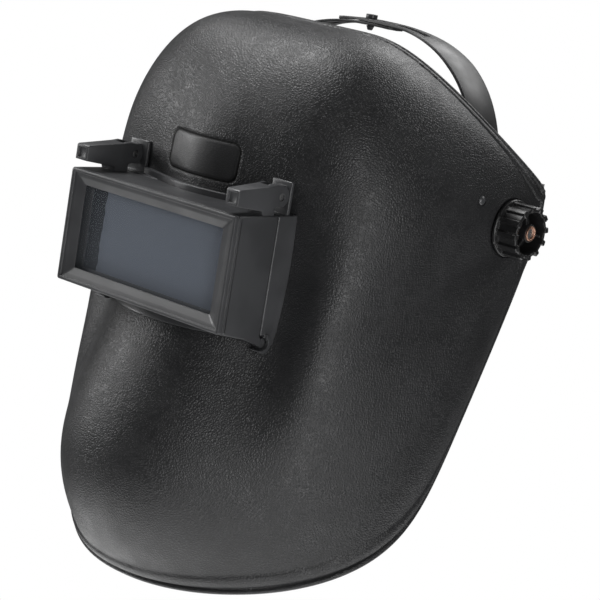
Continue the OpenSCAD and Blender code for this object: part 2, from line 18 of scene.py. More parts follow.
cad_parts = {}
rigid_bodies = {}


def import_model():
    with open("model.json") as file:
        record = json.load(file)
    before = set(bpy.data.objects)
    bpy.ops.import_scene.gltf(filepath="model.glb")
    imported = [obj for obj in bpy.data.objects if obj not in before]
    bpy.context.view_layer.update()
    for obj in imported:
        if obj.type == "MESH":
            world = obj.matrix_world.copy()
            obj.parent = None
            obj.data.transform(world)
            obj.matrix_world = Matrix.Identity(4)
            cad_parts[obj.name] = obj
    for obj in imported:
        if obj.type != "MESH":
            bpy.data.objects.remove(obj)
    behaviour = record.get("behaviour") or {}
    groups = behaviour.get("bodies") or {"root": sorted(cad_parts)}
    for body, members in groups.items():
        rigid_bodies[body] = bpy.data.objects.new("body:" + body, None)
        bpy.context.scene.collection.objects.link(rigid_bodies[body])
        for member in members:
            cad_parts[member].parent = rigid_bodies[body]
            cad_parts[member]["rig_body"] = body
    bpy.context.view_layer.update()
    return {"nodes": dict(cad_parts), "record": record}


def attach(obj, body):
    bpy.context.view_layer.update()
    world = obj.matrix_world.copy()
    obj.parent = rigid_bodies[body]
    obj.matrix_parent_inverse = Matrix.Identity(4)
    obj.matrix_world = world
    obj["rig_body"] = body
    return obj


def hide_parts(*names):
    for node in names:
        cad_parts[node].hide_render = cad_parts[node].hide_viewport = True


MM = 0.001
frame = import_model()

PLAQUE = (0.0, 14.7, 24.0, 9.9, 4.5)        # centre x and z, half width, half height, corner radius
PLAQUE_SMOOTH = 0.3                         # the smooth field starts this far inside the outline
BROW_Y = -60.0                              # only the skin ahead of this carries the plaque


# ---------------------------------------------------------------- materials
class Nodes:
    """Builds one node material from short calls."""

    def __init__(self, name):
        self.mat = bpy.data.materials.new(name)
        self.mat.use_nodes = True
        self.tree = self.mat.node_tree
        self.bsdf = self.tree.nodes["Principled BSDF"]
        self.place = self.add("ShaderNodeTexCoord").outputs["Object"]

    def add(self, kind, **settings):
        n = self.tree.nodes.new(kind)
        for key, value in settings.items():
            setattr(n, key, value)
        return n

    def link(self, a, b):
        self.tree.links.new(a, b)

    def put(self, target, value):
        if hasattr(value, "is_output"):
            self.link(value, target)
        else:
            target.default_value = value

    def math(self, operation, *args):
        n = self.add("ShaderNodeMath", operation=operation)
        for i, a in enumerate(args):
            self.put(n.inputs[i], a)
        return n.outputs[0]

    def noise(self, scale, detail=2.0, rough=0.5, vector=None):
        n = self.add("ShaderNodeTexNoise")
        self.link(vector or self.place, n.inputs["Vector"])
        n.inputs["Scale"].default_value = scale
        n.inputs["Detail"].default_value = detail
        n.inputs["Roughness"].default_value = rough
        return n.outputs["Fac"]

    def cells(self, scale, feature="F1", vector=None):
        n = self.add("ShaderNodeTexVoronoi", feature=feature)
        self.link(vector or self.place, n.inputs["Vector"])
        n.inputs["Scale"].default_value = scale
        return n.outputs["Distance"]

    def span(self, value, low, high, out_low=0.0, out_high=1.0):
        n = self.add("ShaderNodeMapRange")
        n.interpolation_type = "SMOOTHSTEP"
        self.put(n.inputs["Value"], value)
        ends = {"From Min": low, "From Max": high, "To Min": out_low, "To Max": out_high}
        for key, v in ends.items():
            self.put(n.inputs[key], v)
        return n.outputs["Result"]

    def blend(self, fac, a, b):
        n = self.add("ShaderNodeMix", data_type="RGBA")
        self.put(n.inputs["Factor"], fac)
        self.put(n.inputs["A"], a)
        self.put(n.inputs["B"], b)
        return n.outputs["Result"]

    def bump(self, height, strength, distance, edge=0.0):
        n = self.add("ShaderNodeBump")
        n.inputs["Strength"].default_value = strength
        n.inputs["Distance"].default_value = distance
        self.link(height, n.inputs["Height"])
        if edge:
            soft = self.add("ShaderNodeBevel", samples=4)
            soft.inputs["Radius"].default_value = edge
            self.link(soft.outputs["Normal"], n.inputs["Normal"])
        self.link(n.outputs["Normal"], self.bsdf.inputs["Normal"])

    def set(self, **values):
        for key, value in values.items():
            self.put(self.bsdf.inputs[key.replace("_", " ")], value)
        return self.mat


def rgb(*c):
    return (*c, 1.0)


def shade(colour, factor):
    return rgb(*(c * factor for c in colour))


def plaque_clearance(n):
    """Metres outside the plaque's smooth field, or behind the brow, whichever is more."""
    _, middle_z, half_w, half_h, corner = (v * MM for v in PLAQUE)
    straight_w, straight_h = (half - corner - PLAQUE_SMOOTH * MM for half in (half_w, half_h))
    parts = n.add("ShaderNodeSeparateXYZ")
    n.link(n.place, parts.inputs[0])
    up = n.math("SUBTRACT", parts.outputs["Z"], middle_z)
    off_x = n.math("SUBTRACT", n.math("ABSOLUTE", parts.outputs["X"]), straight_w)
    off_z = n.math("SUBTRACT", n.math("ABSOLUTE", up), straight_h)
    squares = [n.math("POWER", n.math("MAXIMUM", v, 0.0), 2.0) for v in (off_x, off_z)]
    clear = n.math("SUBTRACT", n.math("SQRT", n.math("ADD", *squares)), corner)
    return n.math("MAXIMUM", clear, n.math("ADD", parts.outputs["Y"], -BROW_Y * MM))


LEATHER_CELLS = 720.0      # cells of the leather grain per metre
LEATHER_WARP = 0.0009
EDGE_ROUND = 0.0005        # edges look rounded by this much, in metres


def moulded(name, colour, rough, edge=EDGE_ROUND, grain=0.0):
    """Moulded plastic; grain is the strength of a leather grain that leaves the plaque smooth."""
    n = Nodes(name)
    cloud = n.noise(38.0, 3.0)
    fine = n.noise(2600.0, 2.0)
    base = n.blend(n.span(cloud, 0.35, 0.65), shade(colour, 0.86), shade(colour, 1.12))
    rough_map = n.span(n.noise(95.0, 3.0), 0.3, 0.7, rough - 0.05, rough + 0.05)
    if grain:
        warp = n.add("ShaderNodeVectorMath", operation="MULTIPLY_ADD")
        spread = n.add("ShaderNodeTexNoise")
        n.link(n.place, spread.inputs["Vector"])
        spread.inputs["Scale"].default_value = 420.0
        n.link(spread.outputs["Color"], warp.inputs[0])
        warp.inputs[1].default_value = (LEATHER_WARP,) * 3
        n.link(n.place, warp.inputs[2])
        pebble = n.cells(LEATHER_CELLS, "DISTANCE_TO_EDGE", warp.outputs[0])
        height = n.math("ADD", n.span(pebble, 0.0, 0.32), n.math("MULTIPLY", fine, 0.35))
        clear = plaque_clearance(n)
        height = n.math("MULTIPLY", height, n.span(clear, -0.0006, 0.0, 0.3, 1.0))
        # painted shade: the grain is darkened to 0.6 in its valleys, along the edges of its cells
        base = n.blend(n.span(pebble, 0.0, 0.12), shade(colour, 0.6), base)
        # painted shade: the groove round the plaque is darkened to near black, and made dull
        groove_shade = n.span(n.math("ABSOLUTE", n.math("SUBTRACT", clear, 0.0003)), 0.0002, 0.0009)
        base = n.blend(groove_shade, rgb(0.001, 0.001, 0.001), base)
        rough_map = n.blend(groove_shade, rgb(0.95, 0.95, 0.95), rough_map)
        n.bump(height, grain, 0.00022, edge)
    else:
        ripple = n.math("ADD", n.math("MULTIPLY", fine, 0.6), n.noise(420.0, 3.0))
        n.bump(ripple, 0.16, 0.00008, edge)
    return n.set(Base_Color=base, Roughness=rough_map, IOR=1.5)


def rubber():
    n = Nodes("gasket_rubber")
    speck = n.noise(1500.0, 3.0, 0.7)
    n.bump(speck, 0.4, 0.0001, 0.0003)
    colour = n.blend(speck, rgb(0.008, 0.008, 0.008), rgb(0.02, 0.02, 0.02))
    return n.set(Base_Color=colour, Roughness=0.85)


def steel():
    n = Nodes("spring_steel")
    stretch = n.add("ShaderNodeMapping")
    n.link(n.place, stretch.inputs["Vector"])
    stretch.inputs["Scale"].default_value = (60.0, 900.0, 900.0)
    streak = n.noise(1.0, 4.0, 0.6, stretch.outputs["Vector"])
    stain = n.noise(120.0, 3.0)
    n.bump(streak, 0.15, 0.00005, 0.0003)
    colour = n.blend(stain, rgb(0.44, 0.44, 0.4368), rgb(0.55, 0.55, 0.56))
    return n.set(Base_Color=colour, Metallic=1.0, Roughness=n.span(streak, 0.3, 0.7, 0.24, 0.42))


def brass():
    n = Nodes("insert_brass")
    turned = n.noise(900.0, 2.0)
    n.bump(turned, 0.2, 0.00005, 0.0003)
    colour = n.blend(turned, rgb(0.62, 0.36, 0.26), rgb(0.78, 0.5, 0.38))
    return n.set(Base_Color=colour, Metallic=1.0, Roughness=n.span(turned, 0.3, 0.7, 0.3, 0.45))


def fibre():
    n = Nodes("fibre_washer")
    felt = n.noise(1400.0, 4.0, 0.7)
    n.bump(felt, 0.4, 0.0001)
    colour = n.blend(felt, rgb(0.14, 0.05, 0.03), rgb(0.28, 0.12, 0.07))
    return n.set(Base_Color=colour, Roughness=0.8)


def terry():
    """Looped cloth of the brow and rear pads."""
    n = Nodes("sweat_fabric")
    loops = n.cells(1100.0, "F1")
    tuft = n.noise(520.0, 3.0, 0.6)
    height = n.math("SUBTRACT", n.math("MULTIPLY", tuft, 0.8), loops)
    n.bump(height, 0.9, 0.0006)
    # painted shade and light: the cloth is darker where its loops sink and lighter on the tufts,
    # following the bump's height
    pit_shade, tuft_lit = rgb(0.018, 0.018, 0.02), rgb(0.06, 0.06, 0.065)
    return n.set(Base_Color=n.blend(n.span(height, -0.4, 0.4), pit_shade, tuft_lit), Roughness=0.95,
                 Sheen_Weight=0.5, Sheen_Roughness=0.5)


def clear_plate():
    n = Nodes("clear_plate")
    haze = n.noise(60.0, 4.0, 0.6)
    scratch = n.noise(900.0, 3.0)
    n.bump(scratch, 0.02, 0.00002)
    return n.set(Base_Color=rgb(0.5, 0.55, 0.62), Alpha=0.06, IOR=1.5,
                 Roughness=n.span(haze, 0.4, 0.8, 0.08, 0.14))


def filter_glass():
    """Dark welding glass with a grey-blue mirror sheen, and a painted dark reflection along one
    end: a ragged strip made near-black and dull.
    """
    n = Nodes("filter_glass")
    parts = n.add("ShaderNodeSeparateXYZ")
    n.link(n.place, parts.inputs[0])
    # painted dark reflection of the bezel's wall: beyond x = -40 mm the glass is made near-black,
    # dull and without specular
    ragged = n.math("MULTIPLY", n.math("SUBTRACT", n.noise(70.0, 4.0, 0.6), 0.5), 0.006)
    painted_dark_reflection = n.span(n.math("ADD", parts.outputs["X"], ragged), -0.0400, -0.0396, 1.0, 0.0)
    cloud = n.noise(30.0, 3.0)
    sheen = n.blend(cloud, rgb(0.075, 0.088, 0.115), rgb(0.09, 0.103, 0.13))
    n.bump(n.noise(700.0, 2.0), 0.02, 0.00002)
    return n.set(Base_Color=n.blend(painted_dark_reflection, sheen, rgb(0.0005, 0.0005, 0.0005)),
                 Roughness=n.span(painted_dark_reflection, 0.0, 1.0, 0.3, 0.9),
                 Specular_IOR_Level=n.span(painted_dark_reflection, 0.0, 1.0, 0.5, 0.0))


BLACK = (0.0165, 0.0168, 0.018)
mats = {
    "shell_plastic": moulded("shell_plastic", BLACK, 0.43, 0.0, grain=0.55),
    "frame_plastic": moulded("frame_plastic", (0.05, 0.051, 0.054), 0.36),
    "band_plastic": moulded("band_plastic", (0.02, 0.02, 0.021), 0.42),
    "gasket_rubber": rubber(),
    "clear_plate": clear_plate(),
    "filter_glass": filter_glass(),
    "spring_steel": steel(),
    "insert_brass": brass(),
    "fibre_washer": fibre(),
    "sweat_fabric": terry(),
}
knob_black = moulded("knob_black", (0.012, 0.012, 0.0125), 0.34)
slot_of = {s["node"]: s["material_slot"] for s in frame["record"]["subparts"]}
for name, node in frame["nodes"].items():
    node.data.materials.clear()
    node.data.materials.append(mats[slot_of[name]])


# ---------------------------------------------------------------- mesh tools
def smooth(mesh, angle):
    """Smooth faces, with edges sharper than angle kept crisp."""
    for p in mesh.polygons:
        p.use_smooth = True
    bm = bmesh.new()
    bm.from_mesh(mesh)
    limit = math.radians(angle)
    for edge in bm.edges:
        edge.smooth = len(edge.link_faces) == 2 and edge.calc_face_angle(0.0) < limit
    bm.to_mesh(mesh)
    bm.free()


def place_mesh(name, mesh):
    obj = bpy.data.objects.new(name, mesh)
    bpy.context.scene.collection.objects.link(obj)
    return obj


def make(name, verts, faces):
    """A new object from points in millimetres."""
    mesh = bpy.data.meshes.new(name)
    points = (np.asarray(verts, float) * MM).tolist()
    mesh.from_pydata(points, [], [list(map(int, f)) for f in faces])
    mesh.validate()
    bm = bmesh.new()
    bm.from_mesh(mesh)
    bmesh.ops.recalc_face_normals(bm, faces=bm.faces)
    bm.to_mesh(mesh)
    bm.free()
    return place_mesh(name, mesh)


def settle(obj):
    """Applies the object's modifiers."""
    dg = bpy.context.evaluated_depsgraph_get()
    mesh = bpy.data.meshes.new_from_object(obj.evaluated_get(dg))
    old = obj.data
    obj.modifiers.clear()
    obj.data = mesh
    bpy.data.meshes.remove(old)


def boolean(obj, others, operation="DIFFERENCE", keep=False):
    """obj minus, plus or within the others, which are then removed."""
    for other in others:
        m = obj.modifiers.new("cut", "BOOLEAN")
        m.operation, m.solver, m.object = operation, "MANIFOLD", other
        settle(obj)
        if not keep:
            bpy.data.objects.remove(other)
    return obj


def solid(verts, faces):
    return make("tool", verts, faces)


def block(low, high):
    (a, b, c), (d, e, f) = low, high
    v = [(x, y, z) for x in (a, d) for y in (b, e) for z in (c, f)]
    return solid(v, [(0, 1, 3, 2), (4, 6, 7, 5), (0, 4, 5, 1),
                     (2, 3, 7, 6), (0, 2, 6, 4), (1, 5, 7, 3)])


def span_x(side, a, b):
    """The X range a to b on the left side (1), or its mirror image on the right (-1)."""
    return (a, b) if side > 0 else (-b, -a)


def side_block(side, xs, ys, zs):
    a, b = span_x(side, *xs)
    return block((a, ys[0], zs[0]), (b, ys[1], zs[1]))


def side_name(side, stem):
    return stem + ("_left" if side > 0 else "_right")


def side_prism(x0, x1, points):
    """A Y, Z profile pushed along X."""
    n = len(points)
    v = [(x, y, z) for x in (x0, x1) for y, z in points]
    f = [tuple(range(n)), tuple(range(2 * n - 1, n - 1, -1))]
    f += [(i, (i + 1) % n, n + (i + 1) % n, n + i) for i in range(n)]
    return solid(v, f)


def rod_x(x0, x1, radius, centre=(0.0, 0.0), steps=64):
    ring = [(centre[0] + radius * math.cos(a), centre[1] + radius * math.sin(a))
            for a in np.linspace(0, 2 * math.pi, steps, endpoint=False)]
    return side_prism(x0, x1, ring)


def soften(obj, width, segments=2, angle=38.0):
    """Rounds the edges sharper than angle."""
    m = obj.modifiers.new("soften", "BEVEL")
    m.width, m.segments = width * MM, segments
    m.limit_method, m.angle_limit = "ANGLE", math.radians(angle)
    m.use_clamp_overlap, m.harden_normals, m.miter_outer = True, False, "MITER_ARC"
    settle(obj)
    smooth(obj.data, 40.0)
    return obj


WELD = 0.004                    # points of a CAD mesh closer than this are one
FLAT = math.radians(0.6)        # faces that turn less than this are one


def rounded_copy(node, width):
    """A copy of a CAD node with rounded edges, shown in its place."""
    src = frame["nodes"][node]
    bm = bmesh.new()
    bm.from_mesh(src.data)
    bmesh.ops.remove_doubles(bm, verts=bm.verts, dist=WELD * MM)
    bmesh.ops.dissolve_limit(bm, angle_limit=FLAT, verts=bm.verts, edges=bm.edges)
    mesh = bpy.data.meshes.new(node + "_form")
    bm.to_mesh(mesh)
    bm.free()
    obj = place_mesh(node + "_form", mesh)
    mesh.materials.clear()
    mesh.materials.append(mats[slot_of[node]])
    soften(obj, width)
    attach(obj, src["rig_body"])
    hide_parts(node)
    return obj


def joined(objs, name):
    """Several pieces as one mesh."""
    bm = bmesh.new()
    for o in objs:
        bm.from_mesh(o.data)
    mesh = bpy.data.meshes.new(name)
    bm.to_mesh(mesh)
    bm.free()
    for o in objs:
        bpy.data.objects.remove(o)
    return place_mesh(name, mesh)


def dress(obj, slot, body, node, angle):
    """Material, body and the CAD node that the finished piece stands for."""
    obj.data.materials.clear()
    obj.data.materials.append(mats[slot])
    smooth(obj.data, angle)
    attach(obj, body)
    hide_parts(node)
    return obj


# ---------------------------------------------------------------- shell
# Spread evenly over the angles FIRST to LAST: reach, width, and roundness of front and of side
STATIONS = np.array([
    [283.1, 0.633, 3.12, 6.46], [256, 1.604, 1.477, 2.049], [271.1, 0.833, 2.812, 1.786],
    [150.5, 1.189, 1.5, 3.45], [144.9, 0.981, 2.39, 4.74], [141.6, 0.769, 2.466, 4.444],
    [71, 0.477, 4.92, 7.61]])
FIRST, LAST = -80.0, 50.0
CHIN, CHEEK, CROWN = 52.5, 77.0, 42.5
EAR_Y, EAR_Z, EAR_HALF = 26.5, 10.0, 12.0
HALF_W, WALL = 110.5, 2.6
POCKET, NOSE = 29.4, 8.9        # depth of the hollows beside the chin, height of the brow's ridge


def shell_points(t, phi):
    """Outer surface: t 0 to 1 from chin to crown rim, phi -90 to 90 degrees from ear to ear."""
    f = np.radians(np.abs(phi))
    low = -CHIN - (CHEEK - CHIN) * np.sin(f) ** 2
    th = low + (CROWN - low) * t
    ends = np.vstack([2 * STATIONS[0] - STATIONS[1], STATIONS, 2 * STATIONS[-1] - STATIONS[-2]])
    u = (th - FIRST) / (LAST - FIRST) * (len(STATIONS) - 1)
    i = np.clip(np.floor(u).astype(int), 0, len(STATIONS) - 2)
    g = (u - i)[..., None]
    row = ((1 - g) ** 3 * ends[i] + (3 * g ** 3 - 6 * g ** 2 + 4) * ends[i + 1]
           + (-3 * g ** 3 + 3 * g ** 2 + 3 * g + 1) * ends[i + 2] + g ** 3 * ends[i + 3]) / 6
    reach, width, front, side = (row[..., k] for k in range(4))
    k = np.maximum(np.cos(f), 0) ** (2 / front)
    x = np.sign(phi) * HALF_W * (1 + (width - 1) * k) * np.sin(f) ** (2 / side)
    s, tr = 2 * t - 1, np.radians(th)
    y = EAR_Y - 2 * s ** 4 - reach * k * np.cos(tr)
    z = EAR_Z + EAR_HALF * s + reach * k * np.sin(tr)
    y = y + POCKET * np.exp(-((x ** 2 - 3320) / 3521) ** 2) * np.exp(-((z + 76.6) / 63.2) ** 2)
    y = y - NOSE * np.exp(-(x / 27.8) ** 2) * np.exp(-((z - 12.2) / 41.6) ** 2)
    return np.stack([x, y, z], -1)


def resample(points, weight, count):
    """Each row of points as count points, closer together where weight is larger."""
    out = np.empty((points.shape[0], count, 3))
    for r, (row, w) in enumerate(zip(points, weight)):
        step = np.linalg.norm(np.diff(row, axis=0), axis=1) * (w[1:] + w[:-1]) / 2
        s = np.concatenate([[0], np.cumsum(step)])
        want = np.linspace(0, s[-1], count)
        for c in range(3):
            out[r, :, c] = np.interp(want, s, row[:, c])
    return out


def arc(row):
    return np.concatenate([[0], np.cumsum(np.linalg.norm(np.diff(row, axis=0), axis=1))])


ROWS, COLS = ((250, 331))


def shell_grid():
    """Outer surface as [row from chin to crown, column, xyz], finer at the rims and the plaque."""
    u = np.linspace(-1, 1, 1401)
    phi = 90 * np.sign(u) * (1 - (1 - np.abs(u) ** 2.2) ** 1.6)
    t = np.linspace(0, 1, 501)
    T, P = np.meshgrid(t, phi, indexing="ij")
    dense = shell_points(T, P)
    weight = np.empty(dense.shape[:2])
    for r, row in enumerate(dense):
        s = arc(row)
        near = np.minimum(s, s[-1] - s)
        middle = np.exp(-(np.abs(s - s[-1] / 2) / 34) ** 6)
        weight[r] = 1 + 2.2 * np.exp(-(near / 8) ** 2) + middle
    rows = resample(dense, weight, COLS).transpose(1, 0, 2)
    weight = np.empty(rows.shape[:2])
    for r, row in enumerate(rows):
        s = arc(row)
        near = np.minimum(s, s[-1] - s)
        plaque = step(-row[:, 1], 55, 85) * np.exp(-((row[:, 2] - 15) / 17) ** 6)
        weight[r] = 1 + 3.4 * np.exp(-(near / 11) ** 4) + 1.8 * plaque
    return resample(rows, weight, ROWS).transpose(1, 0, 2)


INNER_POINT = np.array([0, 30.0, -40.0])       # inside the shell, so normals point away from it


def grid_normals(g):
    du, dv = np.gradient(g, axis=0), np.gradient(g, axis=1)
    n = np.cross(dv, du)
    n /= np.maximum(np.linalg.norm(n, axis=2, keepdims=True), 1e-9)
    n *= np.sign((n * (g - INNER_POINT)).sum(2, keepdims=True))
    return n


def bump_line(d, centre, half, height):
    """A rounded rib across distance d."""
    return height * np.sqrt(np.clip(1 - ((d - centre) / half) ** 2, 0, 1))


FAR = 99.0                          # stands for any distance well beyond the rims
RIM_ROWS, RIM_COLS = 60, 40         # only this many rows and columns are near a rim


def rim_distances(g):
    """Distance of each grid point from the crown rim, the chin rim and the two side rims."""
    out = []
    rows, cols = g.shape[:2]
    for line in (g[-1], g[0], np.vstack([g[:, 0], g[:, -1]])):
        tree = KDTree(len(line))
        for i, p in enumerate(line):
            tree.insert(p, i)
        tree.balance()
        d = np.full((rows, cols), FAR)
        for r in range(rows):
            for c in range(cols):
                if min(r, rows - 1 - r) < RIM_ROWS or min(c, cols - 1 - c) < RIM_COLS:
                    d[r, c] = tree.find(g[r, c])[2]
        out.append(d)
    return out


def box_sdf(x, z, cx, cz, hx, hz, r):
    qx, qz = np.abs(x - cx) - hx + r, np.abs(z - cz) - hz + r
    return np.hypot(np.maximum(qx, 0), np.maximum(qz, 0)) + np.minimum(np.maximum(qx, qz), 0) - r


def step(v, a, b):
    s = np.clip((v - a) / (b - a), 0, 1)
    return s * s * (3 - 2 * s)


grid = shell_grid()
normal = grid_normals(grid)
crown_d, chin_d, ear_d = rim_distances(grid)

# Each bead is a rib at the edge, a groove, and a second, lower rib
crown = bump_line(crown_d, 1.3, 1.6, 1.5) + bump_line(crown_d, 5.6, 2.2, 1.0)
crown -= bump_line(crown_d, 3.4, 0.7, 0.4)
chin = bump_line(chin_d, 1.4, 1.7, 1.7) + bump_line(chin_d, 7.5, 3.8, 1.3)
chin -= bump_line(chin_d, 3.6, 0.7, 0.4)
ear = bump_line(ear_d, 1.3, 1.6, 1.2)
relief = np.maximum(np.maximum(crown, chin), ear)
inside = box_sdf(grid[..., 0], grid[..., 2], *PLAQUE)
ahead = grid[..., 1] < BROW_Y
relief += ahead * (0.15 * step(-inside, 0.3, 1.0) - 0.6 * np.exp(-((inside - 0.2) / 0.7) ** 2))
outer = grid + normal * relief[..., None]
inner = grid - normal * (WALL - 0.25 * (relief * (crown_d < 9))[..., None])


def grid_quads(shape):
    """Point numbers of a grid of this shape, and its quads."""
    ids = np.arange(shape[0] * shape[1]).reshape(shape)
    corners = [ids[:-1, :-1], ids[:-1, 1:], ids[1:, 1:], ids[1:, :-1]]
    return ids, np.stack(corners, -1).reshape(-1, 4)


def closed_sheet(a, b):
    """Points and faces of the solid between two grids of the same shape."""
    v = np.vstack([a.reshape(-1, 3), b.reshape(-1, 3)])
    ids, q = grid_quads(a.shape[:2])
    n = ids.size
    faces = [q, q[:, ::-1] + n]
    edge = np.concatenate([ids[0, :], ids[1:, -1], ids[-1, :-1][::-1], ids[:-1, 0][::-1][:-1]])
    nxt = np.roll(edge, -1)
    faces.append(np.stack([nxt, edge, edge + n, nxt + n], -1))
    return v, np.vstack(faces)


shell_form = make("shell_form", *closed_sheet(outer, inner))
quads = grid_quads(grid.shape[:2])[1]
skin = BVHTree.FromPolygons([tuple(p) for p in grid.reshape(-1, 3)], [tuple(q) for q in quads])
MISSED_Y = -60.0            # stands for the skin where there is none straight ahead


def skin_at(x, z):
    """Outer surface's y and outward normal straight ahead of x, z."""
    hit, n, _, _ = skin.ray_cast(Vector((x, -400, z)), Vector((0, 1, 0)))
    if hit is None:
        return MISSED_Y, Vector((0, -1, 0))
    return hit.y, (n if n.y < 0 else -n)


SKIN_XS, SKIN_ZS = np.linspace(-72, 72, 121), np.linspace(-86, 22, 91)
SKIN_BACK = -40.0
SKIN_GAP = 0.1              # parts that lie on the shell stand this far off it


def skin_block(grow=SKIN_GAP):
    """The space behind the shell's outer surface round the window, swollen by grow."""
    front = []
    for z in SKIN_ZS:
        for x in SKIN_XS:
            y, n = skin_at(x, z)
            front.append((x, y - grow / max(-n.y, 0.35), z))
    front = np.array(front).reshape(len(SKIN_ZS), len(SKIN_XS), 3)
    rear = front.copy()
    rear[..., 1] = SKIN_BACK
    return solid(*closed_sheet(front, rear))


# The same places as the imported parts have
FACE_Y, WIN_Z, BOX_W, BOX_H = -157.0, -34.0, 119.5, 60.0
SEAM_Y = -125.5
TOP, BOTTOM, SLOPE = -4.0, -64.0, 5.5
HINGE = (-124.5, 5.5)
ARM = (47.4, 59.0)
PEG, PEG_HOLE = (-122.5, -70.0), 2.9
BOSS_X = 109.4
ARM_GAP, ARM_BOSS = 0.7, 5.3
KNOB_X, KNOB_SEAT = 110.5, 16.2
STOP_PIN, STOP_HOLE = (-25.9, 14.2), 2.55
STUD_HOLE, PIN_HOLE, LUG_HOLE = 3.06, 2.02, 2.06


def mirrored(build):
    """build(side) for both sides, as one list."""
    return [build(1), build(-1)]


def arm_profile(grow=0.0):
    """Side view of an arm, from its front lower corner round over the top and the hinge boss."""
    r = ARM_BOSS + grow
    pts = [(-156.3 - grow, 0.6 - grow), (-156.3 - grow, 8.2), (-155.4, 8.8 + grow),
           (-133, 10.7 + grow), (-128, 11.4 + grow)]
    for a in np.linspace(0.05, 3.5, 26):
        pts.append((HINGE[0] + r * math.sin(a), HINGE[1] + r * math.cos(a)))
    pts += [(-128.5, -0.4), (-128.5, -4.6), (-136.5, -4.6), (-137.5, -1.8 - grow)]
    return pts


def sweep_tools(side):
    """Solids of everything an arm passes through."""
    out = []
    for a in np.radians(np.arange(0, 84, 8)):
        turned = []
        for y, z in arm_profile(ARM_GAP):
            dy, dz = y - HINGE[0], z - HINGE[1]
            turned.append((HINGE[0] + dy * math.cos(a) + dz * math.sin(a),
                           HINGE[1] - dy * math.sin(a) + dz * math.cos(a)))
        out.append(side_prism(*span_x(side, ARM[0] - ARM_GAP, ARM[1] + ARM_GAP), turned))
    return out


SHELL_OPENING = ((-56.9, -190, -67), (56.9, -80, -5.6))
boss = [rod_x(*span_x(s, 98.2, BOSS_X + 0.6), 16.5, steps=96) for s in (1, -1)]
boolean(shell_form, boss, "UNION")
boolean(shell_form, [block(*SHELL_OPENING)])
for s in (1, -1):
    boolean(shell_form, [rod_x(*span_x(s, BOSS_X, BOSS_X + 8), KNOB_SEAT, steps=128)])
    boolean(shell_form, [rod_x(*span_x(s, 90, 120), STUD_HOLE)])
    boolean(shell_form, [rod_x(*span_x(s, 90, 115), STOP_HOLE, STOP_PIN)])
dress(shell_form, "shell_plastic", "shell", "shell", angle=42)

# ---------------------------------------------------------------- fixed window frame
WINDOW = ((-54.9, -200, -65), (54.9, 0, -7.6))       # the way through the fixed frame
LIP_PROUD, SLEEVE_PROUD, HOLDER_PROUD = 2.6, 2.4, 3.1    # how far each stands ahead of the shell
wall = side_prism(-BOX_W / 2, BOX_W / 2, [
    (SEAM_Y + 0.4, TOP), (-100, TOP), (-100, -77), (SEAM_Y + 16, -73),
    (SEAM_Y + 0.4, BOTTOM - SLOPE)])
soften(wall, 0.9, 3, 50)
boolean(wall, [block(*WINDOW), skin_block()])
lip = block((-BOX_W / 2 + 0.1, -160, -70.2), (BOX_W / 2 - 0.1, -100, TOP + 0.1))
boolean(lip, [block((-ARM[0] + 2.4, -160, TOP - 1), (ARM[0] - 2.4, -100, -0.8))], "UNION")
boolean(lip, [skin_block(LIP_PROUD)], "INTERSECT")
soften(lip, 0.7, 3, 50)
boolean(lip, [block(*WINDOW), skin_block()])
sleeve = block((-56.7, -160, -66.8), (56.7, -98.2, -5.8))
boolean(sleeve, [skin_block(SLEEVE_PROUD)], "INTERSECT")
boolean(sleeve, [block(*WINDOW)])
ledge = block((-55, -107.5, -65.2), (55, -105, -7.4))
boolean(ledge, [block((-49, -120, WIN_Z - 22), (49, -90, WIN_Z + 22))])
PEG_XS = (53.5, 62)
peg_way = [rod_x(*span_x(s, *PEG_XS), PEG_HOLE, PEG) for s in (1, -1)]
for s in (1, -1):
    peg_way.append(side_block(s, PEG_XS, (PEG[0] - 12, PEG[0] + 0.3),
                              (PEG[1] - PEG_HOLE, PEG[1] + 4.3)))
boolean(wall, peg_way, keep=True)
boolean(lip, peg_way)


def hook(s):
    """Latch hook round a peg, open at the front so that the peg can leave."""
    out = rod_x(*span_x(s, 54, 61.2), 4.9, PEG)
    boolean(out, [rod_x(*span_x(s, 53, 62.5), PEG_HOLE, PEG)])
    mouth = [(PEG[0] - 9, PEG[1] - 3.9), (PEG[0], PEG[1] - 3.3), (PEG[0] + 1, PEG[1] + 2.4),
             (PEG[0] + 1, PEG[1] + 9), (PEG[0] - 9, PEG[1] + 9)]
    boolean(out, [side_prism(*span_x(s, 53, 62.5), mouth), skin_block()])
    return soften(out, 0.5, 2)


LUG_XS, LUG_R = (50, 55.6), 5


def post(s):
    """Upright behind an arm's rear end, with the lug that the arm turns on."""
    foot = TOP - 0.9
    out = side_block(s, (ARM[0] - 2.3, ARM[1] - 0.4), (-118.3, -116), (foot, 12.8))
    soften(out, 0.7, 3)
    boolean(out, [side_block(s, LUG_XS, (-117, -104), (foot, 6))], "UNION")
    boolean(out, [skin_block()] + sweep_tools(s))
    lug = rod_x(*span_x(s, *LUG_XS), LUG_R, HINGE)
    neck = [(HINGE[0], HINGE[1] - LUG_R), (-117.5, HINGE[1] - LUG_R - 1),
            (-117.5, HINGE[1] + LUG_R), (HINGE[0], HINGE[1] + LUG_R)]
    boolean(lug, [side_prism(*span_x(s, *LUG_XS), neck)], "UNION")
    boolean(lug, [rod_x(*span_x(s, 45, 60), LUG_HOLE, HINGE)])
    boolean(out, [lug], "UNION")
    return out


window_parts = [wall, lip, sleeve, ledge] + mirrored(hook) + mirrored(post)
window_form = joined(window_parts, "window_frame_form")
dress(window_form, "frame_plastic", "shell", "window_frame", angle=30)

